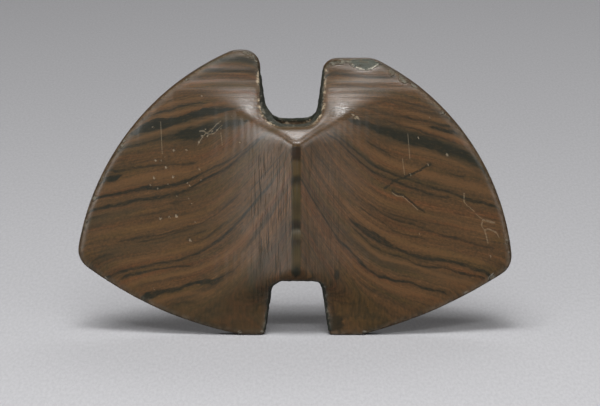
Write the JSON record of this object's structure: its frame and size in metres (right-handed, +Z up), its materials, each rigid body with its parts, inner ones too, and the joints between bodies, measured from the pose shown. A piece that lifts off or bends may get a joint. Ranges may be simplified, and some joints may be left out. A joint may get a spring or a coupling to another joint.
{
  "type": "bannerstone",
  "caption": "Butterfly-shaped slate weight: thin wings beside a keeled barrel, a notch above and below it, and a straight bore that a spear-thrower's shaft passes through.",
  "frame": {"origin": "on the bore's axis, half way along the bore", "axes": "+Z up along the bore, +X to the right along the wings as seen from the front, +Y through the thickness towards the back"},
  "size_m": [0.1239, 0.0228, 0.082],
  "materials": {
    "slate": "banded brown and dark green slate, ground and worn to a satin sheen"
  },
  "bodies": {
    "root": {"bannerstone": "slate"}
  },
  "joints": []
}
